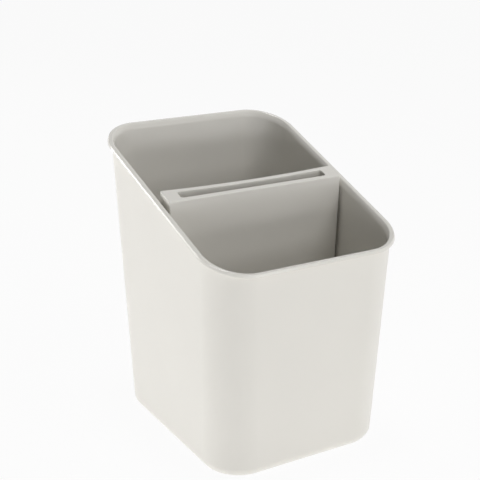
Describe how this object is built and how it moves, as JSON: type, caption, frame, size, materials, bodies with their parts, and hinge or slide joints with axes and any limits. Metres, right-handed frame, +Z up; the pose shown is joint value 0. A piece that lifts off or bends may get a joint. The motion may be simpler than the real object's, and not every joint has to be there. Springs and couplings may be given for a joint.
{
  "type": "cutlery drainer",
  "caption": "Free-standing cutlery drainer: a tapered container with rounded corners and a sloped rim, a lift-out drain grid and a lift-out divider with a knife slot.",
  "frame": {"origin": "middle of the whole part's plan, on the surface that it stands on", "axes": "+Z up, +Y to the tall back, +X to the right when seen from the low front"},
  "size_m": [0.1204, 0.1448, 0.1684],
  "materials": {
    "container_plastic": "satin outside, glossy inside",
    "grid_plastic": "satin",
    "divider_plastic": "glossy"
  },
  "bodies": {
    "container": {"container": "container_plastic"},
    "drain_grid": {"drain_grid": "grid_plastic"},
    "divider": {"divider": "divider_plastic"}
  },
  "joints": [
    {"name": "drain_grid_lift", "type": "slide", "parent": "container", "child": "drain_grid", "axis": [0, 0, 1], "range_m": [0, 0.175]},
    {"name": "divider_lift", "type": "slide", "parent": "drain_grid", "child": "divider", "axis": [0, 0, 1], "range_m": [0, 0.16]}
  ]
}
